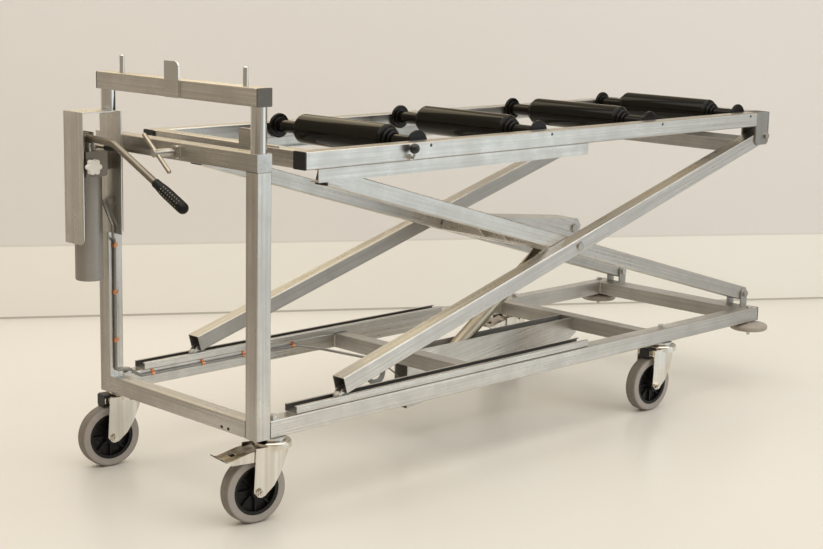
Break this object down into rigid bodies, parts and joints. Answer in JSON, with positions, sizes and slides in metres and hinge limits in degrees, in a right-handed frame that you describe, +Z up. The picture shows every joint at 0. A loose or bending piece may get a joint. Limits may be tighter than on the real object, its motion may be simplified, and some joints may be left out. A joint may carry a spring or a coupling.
{
  "type": "hydraulic scissor trolley",
  "caption": "Hydraulic embalming trolley: square-tube base on castors, scissor lift, roller top frame, hand pump and height-adjustable docking bar.",
  "frame": {"origin": "centre of the overall footprint, on the floor under the castor wheels", "axes": "+X along the trolley from the pump end to the pivot end, +Y from the lever side to the pump side, +Z up"},
  "size_m": [2.055, 0.68, 0.996],
  "materials": {
    "brushed_stainless": "brushed along the tube",
    "fastener_steel": "bright zinc",
    "black_caps": "moulded",
    "grey_caps": "moulded",
    "roller_nylon": "turned nylon",
    "roller_black": "glossy",
    "knob_black": "glossy",
    "pump_metal": "satin",
    "lever_metal": "satin",
    "grip_rubber": "matte",
    "knob_white": "glossy",
    "rod_chrome": "ground",
    "barrel_steel": "satin",
    "pipe_metal": "satin",
    "clip_copper": "bright copper",
    "bumper_rubber": "matte grey",
    "fork_zinc": "bright zinc",
    "hub_plastic": "moulded",
    "tyre_grey": "matte grey rubber"
  },
  "bodies": {
    "base": {"base_rails": "brushed_stainless", "base_cross_tubes": "brushed_stainless", "rail_end_caps": "black_caps", "lower_tracks": "brushed_stainless", "base_bolts": "fastener_steel", "end_uprights": "brushed_stainless", "end_top_tube": "brushed_stainless", "cylinder_well": "brushed_stainless", "pump_plate": "brushed_stainless", "pump_cover": "brushed_stainless", "pump_body": "pump_metal", "hydraulic_pipe": "pipe_metal", "pipe_clips": "clip_copper"},
    "docking_bar": {"docking_bar": "brushed_stainless", "docking_bar_caps": "grey_caps"},
    "clamp_screw": {"clamp_screw": "fastener_steel"},
    "clamp_tee_bar": {"clamp_tee_bar": "fastener_steel"},
    "inner_arms": {"inner_arms": "brushed_stainless", "inner_arm_caps": "black_caps", "lever_bracket": "brushed_stainless", "arm_pins": "fastener_steel"},
    "outer_arms": {"outer_arms": "brushed_stainless"},
    "lower_track_rollers": {"lower_track_rollers": "roller_nylon"},
    "upper_track_rollers": {"upper_track_rollers": "roller_nylon"},
    "top_frame": {"top_side_tubes": "brushed_stainless", "top_end_members": "brushed_stainless", "top_end_caps": "black_caps", "upper_tracks": "brushed_stainless", "top_clevises": "brushed_stainless", "top_bolts": "fastener_steel"},
    "plunger": {"plunger": "knob_black"},
    "cylinder_rod": {"cylinder_rod": "rod_chrome"},
    "cylinder_barrel": {"cylinder_barrel": "barrel_steel"},
    "pump_lever": {"pump_lever": "lever_metal", "pump_lever_grip": "grip_rubber"},
    "pump_piston": {"pump_piston": "lever_metal"},
    "release_knob": {"release_knob": "knob_white"},
    "release_lever": {"release_lever": "lever_metal"},
    "near_bumper": {"near_bumper": "bumper_rubber"},
    "far_bumper": {"far_bumper": "bumper_rubber"},
    "load_roller_1": {"load_roller_1": "roller_black"},
    "load_roller_2": {"load_roller_2": "roller_black"},
    "load_roller_3": {"load_roller_3": "roller_black"},
    "load_roller_4": {"load_roller_4": "roller_black"},
    "castor_fork_1": {"castor_fork_1": "fork_zinc"},
    "castor_wheel_1": {"castor_hub_1": "hub_plastic", "castor_tyre_1": "tyre_grey"},
    "brake_pedal_1": {"brake_pedal_1": "fork_zinc"},
    "castor_fork_2": {"castor_fork_2": "fork_zinc", "castor_guard_2": "hub_plastic"},
    "castor_wheel_2": {"castor_hub_2": "hub_plastic", "castor_tyre_2": "tyre_grey"},
    "castor_fork_3": {"castor_fork_3": "fork_zinc", "castor_guard_3": "hub_plastic"},
    "castor_wheel_3": {"castor_hub_3": "hub_plastic", "castor_tyre_3": "tyre_grey"},
    "castor_fork_4": {"castor_fork_4": "fork_zinc"},
    "castor_wheel_4": {"castor_hub_4": "hub_plastic", "castor_tyre_4": "tyre_grey"},
    "brake_pedal_4": {"brake_pedal_4": "fork_zinc"}
  },
  "joints": [
    {"name": "lift", "type": "hinge", "parent": "base", "child": "inner_arms", "pos_m": [0.9875, 0, 0.266], "axis": [0, 1, 0], "range_deg": [-8, 12]},
    {"name": "scissor_centre", "type": "hinge", "parent": "inner_arms", "child": "outer_arms", "pos_m": [0.15746, 0, 0.5037], "axis": [0, 1, 0], "range_deg": [-24, 16]},
    {"name": "top_pivot", "type": "hinge", "parent": "outer_arms", "child": "top_frame", "pos_m": [0.9875, 0, 0.74139], "axis": [0, 1, 0], "range_deg": [-8, 12]},
    {"name": "cylinder_pivot", "type": "hinge", "parent": "inner_arms", "child": "cylinder_rod", "pos_m": [0.4325, 0, 0.492], "axis": [0, 1, 0], "range_deg": [-17.48, 11.65]},
    {"name": "cylinder_stroke", "type": "slide", "parent": "cylinder_rod", "child": "cylinder_barrel", "axis": [-0.8318, 0, -0.555], "range_m": [-0.0715, 0.1072]},
    {"name": "lower_rollers_spin", "type": "hinge", "parent": "outer_arms", "child": "lower_track_rollers", "pos_m": [-0.66602, 0, 0.24312], "axis": [0, 1, 0], "continuous": true},
    {"name": "upper_rollers_spin", "type": "hinge", "parent": "inner_arms", "child": "upper_track_rollers", "pos_m": [-0.66784, 0, 0.75793], "axis": [0, 1, 0], "continuous": true},
    {"name": "docking_height", "type": "slide", "parent": "base", "child": "docking_bar", "axis": [0, 0, 1], "range_m": [-0.04, 0.12]},
    {"name": "clamp_turn", "type": "hinge", "parent": "base", "child": "clamp_screw", "pos_m": [-0.9575, -0.017, 0.796], "axis": [1, 0, 0], "range_deg": [0, 360]},
    {"name": "tee_slide", "type": "slide", "parent": "clamp_screw", "child": "clamp_tee_bar", "axis": [0, 0.7776, 0.6287], "range_m": [-0.02, 0.02]},
    {"name": "plunger_pull", "type": "slide", "parent": "top_frame", "child": "plunger", "axis": [0, -1, 0], "range_m": [0, 0.012], "stiffness_N_per_m": 600, "springref_m": -0.01},
    {"name": "pump_stroke", "type": "hinge", "parent": "base", "child": "pump_lever", "pos_m": [-1.0055, 0.225, 0.811], "axis": [-1, 0, 0], "range_deg": [0, 55]},
    {"name": "piston_stroke", "type": "slide", "parent": "base", "child": "pump_piston", "axis": [0, 0, 1], "range_m": [0, 0.0149]},
    {"name": "knob_turn", "type": "hinge", "parent": "base", "child": "release_knob", "pos_m": [-1.009, 0.189, 0.746], "axis": [0, -1, 0], "range_deg": [0, 270]},
    {"name": "release_lift", "type": "hinge", "parent": "base", "child": "release_lever", "pos_m": [-0.9785, 0.262, 0.789], "axis": [-1, 0, 0], "range_deg": [0, 9], "stiffness_Nm_per_rad": 2, "springref_deg": -11.46},
    {"name": "near_bumper_spin", "type": "hinge", "parent": "base", "child": "near_bumper", "pos_m": [0.9725, -0.285, 0.171], "axis": [0, 0, 1], "continuous": true},
    {"name": "far_bumper_spin", "type": "hinge", "parent": "base", "child": "far_bumper", "pos_m": [0.9725, 0.285, 0.171], "axis": [0, 0, 1], "continuous": true},
    {"name": "load_roller_1_spin", "type": "hinge", "parent": "top_frame", "child": "load_roller_1", "pos_m": [-0.4075, 0, 0.803], "axis": [0, 1, 0], "continuous": true},
    {"name": "load_roller_2_spin", "type": "hinge", "parent": "top_frame", "child": "load_roller_2", "pos_m": [0.0245, 0, 0.803], "axis": [0, 1, 0], "continuous": true},
    {"name": "load_roller_3_spin", "type": "hinge", "parent": "top_frame", "child": "load_roller_3", "pos_m": [0.4835, 0, 0.803], "axis": [0, 1, 0], "continuous": true},
    {"name": "load_roller_4_spin", "type": "hinge", "parent": "top_frame", "child": "load_roller_4", "pos_m": [0.9035, 0, 0.803], "axis": [0, 1, 0], "continuous": true},
    {"name": "castor_1_swivel", "type": "hinge", "parent": "base", "child": "castor_fork_1", "pos_m": [-0.8665, -0.275, 0.177], "axis": [0, 0, 1], "continuous": true},
    {"name": "castor_1_roll", "type": "hinge", "parent": "castor_fork_1", "child": "castor_wheel_1", "pos_m": [-0.9149, -0.26733, 0.075], "axis": [0.1564, 0.9877, 0], "continuous": true},
    {"name": "brake_1_press", "type": "hinge", "parent": "castor_fork_1", "child": "brake_pedal_1", "pos_m": [-0.91588, -0.26718, 0.161], "axis": [-0.1564, -0.9877, 0], "range_deg": [0, 8]},
    {"name": "castor_2_swivel", "type": "hinge", "parent": "base", "child": "castor_fork_2", "pos_m": [-0.8665, 0.275, 0.177], "axis": [0, 0, 1], "continuous": true},
    {"name": "castor_2_roll", "type": "hinge", "parent": "castor_fork_2", "child": "castor_wheel_2", "pos_m": [-0.9149, 0.28266, 0.075], "axis": [0.1564, 0.9877, 0], "continuous": true},
    {"name": "castor_3_swivel", "type": "hinge", "parent": "base", "child": "castor_fork_3", "pos_m": [0.5525, -0.275, 0.177], "axis": [0, 0, 1], "continuous": true},
    {"name": "castor_3_roll", "type": "hinge", "parent": "castor_fork_3", "child": "castor_wheel_3", "pos_m": [0.50362, -0.27158, 0.075], "axis": [0.0698, 0.9976, 0], "continuous": true},
    {"name": "castor_4_swivel", "type": "hinge", "parent": "base", "child": "castor_fork_4", "pos_m": [0.5525, 0.275, 0.177], "axis": [0, 0, 1], "continuous": true},
    {"name": "castor_4_roll", "type": "hinge", "parent": "castor_fork_4", "child": "castor_wheel_4", "pos_m": [0.50362, 0.27842, 0.075], "axis": [0.0698, 0.9976, 0], "continuous": true},
    {"name": "brake_4_press", "type": "hinge", "parent": "castor_fork_4", "child": "brake_pedal_4", "pos_m": [0.50262, 0.27849, 0.161], "axis": [-0.0698, -0.9976, 0], "range_deg": [0, 8]}
  ],
  "couplings": [
    {"joint": "scissor_centre", "follows": "lift", "ratio": -2},
    {"joint": "top_pivot", "follows": "lift", "ratio": 1},
    {"joint": "cylinder_pivot", "follows": "lift", "ratio": -1.4555},
    {"joint": "cylinder_stroke", "follows": "lift", "m_per_rad": 0.5115},
    {"joint": "piston_stroke", "follows": "pump_stroke", "m_per_rad": 0.0155}
  ]
}
